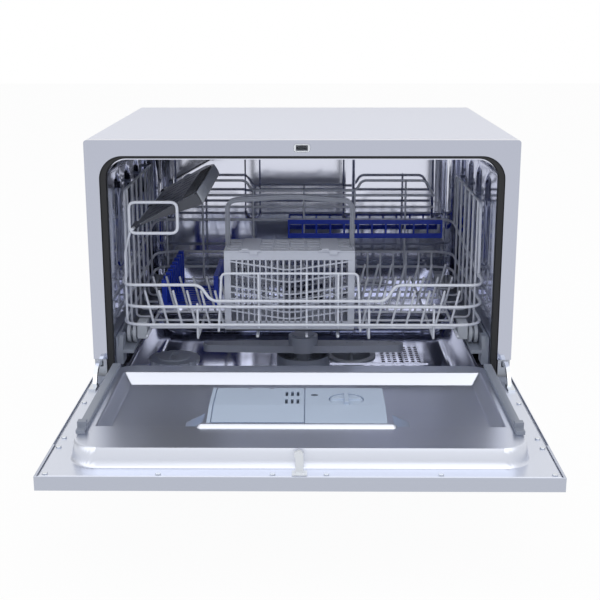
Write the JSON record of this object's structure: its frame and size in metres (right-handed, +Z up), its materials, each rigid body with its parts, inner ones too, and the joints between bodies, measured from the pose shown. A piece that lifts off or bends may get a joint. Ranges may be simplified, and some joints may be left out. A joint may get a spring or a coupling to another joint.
{
  "type": "countertop dishwasher",
  "caption": "Countertop dishwasher with its drop-down door open, a plate rack on rollers, a cutlery basket, a folding cup shelf, a spray arm and a detergent dispenser.",
  "frame": {"origin": "on the counter, under the middle of the part's depth and width with its door open", "axes": "+X to the user's right, +Y into the cabinet, +Z up from the counter"},
  "size_m": [0.55, 0.819, 0.438],
  "materials": {
    "white_paint": "satin",
    "steel": "brushed",
    "grey_plastic": "satin",
    "dark_plastic": "satin",
    "white_plastic": "gloss",
    "blue_grey_plastic": "satin",
    "light_plastic": "satin",
    "blue_plastic": "satin",
    "coated_wire": "gloss",
    "rubber": "matte",
    "chrome": "polished",
    "display": "gloss",
    "board": "satin"
  },
  "bodies": {
    "cabinet": {"cabinet_wrapper": "white_paint", "front_frame": "steel", "rear_panel": "white_paint", "base_pan": "grey_plastic", "kick_plate": "grey_plastic", "feet": "rubber", "tub_shell": "steel", "tub_back": "steel", "tub_floor": "steel", "door_gasket": "rubber", "latch_housing": "white_plastic", "hinge_housings": "grey_plastic", "rack_rails": "grey_plastic", "spray_collar": "grey_plastic", "filter_plate": "steel", "sump": "dark_plastic", "wash_pump": "dark_plastic", "drain_pump": "dark_plastic", "heater": "steel", "inlet_valve": "white_plastic", "drain_spigot": "grey_plastic", "cable_gland": "rubber", "softener_tank": "white_plastic", "air_break": "white_plastic"},
    "door": {"door_outer": "steel", "door_liner": "steel", "control_fascia": "dark_plastic", "display_window": "display", "control_board": "board", "latch_hook": "white_plastic", "roller_guides": "dark_plastic", "door_screws": "steel", "hinge_arms": "chrome", "dispenser_body": "blue_grey_plastic"},
    "rack": {"rack_front": "coated_wire", "rack_back": "coated_wire", "rack_left": "coated_wire", "rack_right": "coated_wire", "rack_floor": "coated_wire", "tines_left": "coated_wire", "tines_right": "coated_wire", "tines_rear": "coated_wire", "rack_loop": "coated_wire", "roller_brackets": "grey_plastic", "glass_strip": "blue_plastic", "spike_holder": "blue_plastic"},
    "cup_shelf": {"cup_shelf": "grey_plastic"},
    "cutlery_basket": {"cutlery_basket": "light_plastic"},
    "dispenser_lid": {"dispenser_lid": "blue_grey_plastic"},
    "filter_cup": {"filter_cup": "grey_plastic"},
    "power_button": {"power_button": "white_plastic"},
    "program_button": {"program_button": "white_plastic"},
    "rinse_cap": {"rinse_cap": "blue_grey_plastic"},
    "rollers_fl": {"rollers_fl": "grey_plastic"},
    "rollers_fr": {"rollers_fr": "grey_plastic"},
    "rollers_rl": {"rollers_rl": "grey_plastic"},
    "rollers_rr": {"rollers_rr": "grey_plastic"},
    "salt_cap": {"salt_cap": "grey_plastic"},
    "spray_arm": {"spray_arm": "grey_plastic"},
    "start_button": {"start_button": "white_plastic"}
  },
  "joints": [
    {"name": "door_hinge", "type": "hinge", "parent": "cabinet", "child": "door", "pos_m": [0, -0.088, 0.1165], "axis": [-1, 0, 0], "range_deg": [0, 90]},
    {"name": "rack_slide", "type": "slide", "parent": "cabinet", "child": "rack", "axis": [0, 1, 0], "range_m": [-0.3, 0]},
    {"name": "spray_arm_spin", "type": "hinge", "parent": "cabinet", "child": "spray_arm", "pos_m": [0, 0.1415, 0.1], "axis": [0, 0, 1], "continuous": true},
    {"name": "filter_turn", "type": "hinge", "parent": "cabinet", "child": "filter_cup", "pos_m": [0.074, 0.1795, 0.08], "axis": [0, 0, 1], "range_deg": [0, 90]},
    {"name": "salt_cap_turn", "type": "hinge", "parent": "cabinet", "child": "salt_cap", "pos_m": [-0.192, 0.1125, 0.09], "axis": [0, 0, 1], "range_deg": [0, 360]},
    {"name": "dispenser_lid_slide", "type": "slide", "parent": "door", "child": "dispenser_lid", "axis": [0, 1, 0], "range_m": [-0.062, 0]},
    {"name": "rinse_cap_turn", "type": "hinge", "parent": "door", "child": "rinse_cap", "pos_m": [0.053, -0.249, 0.15], "axis": [0, 0, 1], "range_deg": [0, 90]},
    {"name": "cup_shelf_fold", "type": "hinge", "parent": "rack", "child": "cup_shelf", "pos_m": [-0.222, 0.1275, 0.318], "axis": [0, -1, 0], "range_deg": [-29, 33]},
    {"name": "basket_lift", "type": "slide", "parent": "rack", "child": "cutlery_basket", "axis": [0, 0, 1], "range_m": [0, 0.05]},
    {"name": "power_button_push", "type": "slide", "parent": "door", "child": "power_button", "axis": [0, 0, 1], "range_m": [0, 0.0012], "stiffness_N_per_m": 400},
    {"name": "program_button_push", "type": "slide", "parent": "door", "child": "program_button", "axis": [0, 0, 1], "range_m": [0, 0.0012], "stiffness_N_per_m": 400},
    {"name": "start_button_push", "type": "slide", "parent": "door", "child": "start_button", "axis": [0, 0, 1], "range_m": [0, 0.0012], "stiffness_N_per_m": 400},
    {"name": "rollers_fl_roll", "type": "hinge", "parent": "rack", "child": "rollers_fl", "pos_m": [-0.2325, -0.0085, 0.1683], "axis": [1, 0, 0], "range_deg": [0, 1325]},
    {"name": "rollers_fr_roll", "type": "hinge", "parent": "rack", "child": "rollers_fr", "pos_m": [0.2325, -0.0085, 0.1683], "axis": [1, 0, 0], "range_deg": [0, 1325]},
    {"name": "rollers_rl_roll", "type": "hinge", "parent": "rack", "child": "rollers_rl", "pos_m": [-0.2325, 0.2795, 0.1683], "axis": [1, 0, 0], "range_deg": [0, 1325]},
    {"name": "rollers_rr_roll", "type": "hinge", "parent": "rack", "child": "rollers_rr", "pos_m": [0.2325, 0.2795, 0.1683], "axis": [1, 0, 0], "range_deg": [0, 1325]}
  ],
  "couplings": [
    {"joint": "rollers_fl_roll", "follows": "rack_slide", "rad_per_m": -76.923},
    {"joint": "rollers_fr_roll", "follows": "rack_slide", "rad_per_m": -76.923},
    {"joint": "rollers_rl_roll", "follows": "rack_slide", "rad_per_m": -76.923},
    {"joint": "rollers_rr_roll", "follows": "rack_slide", "rad_per_m": -76.923}
  ]
}
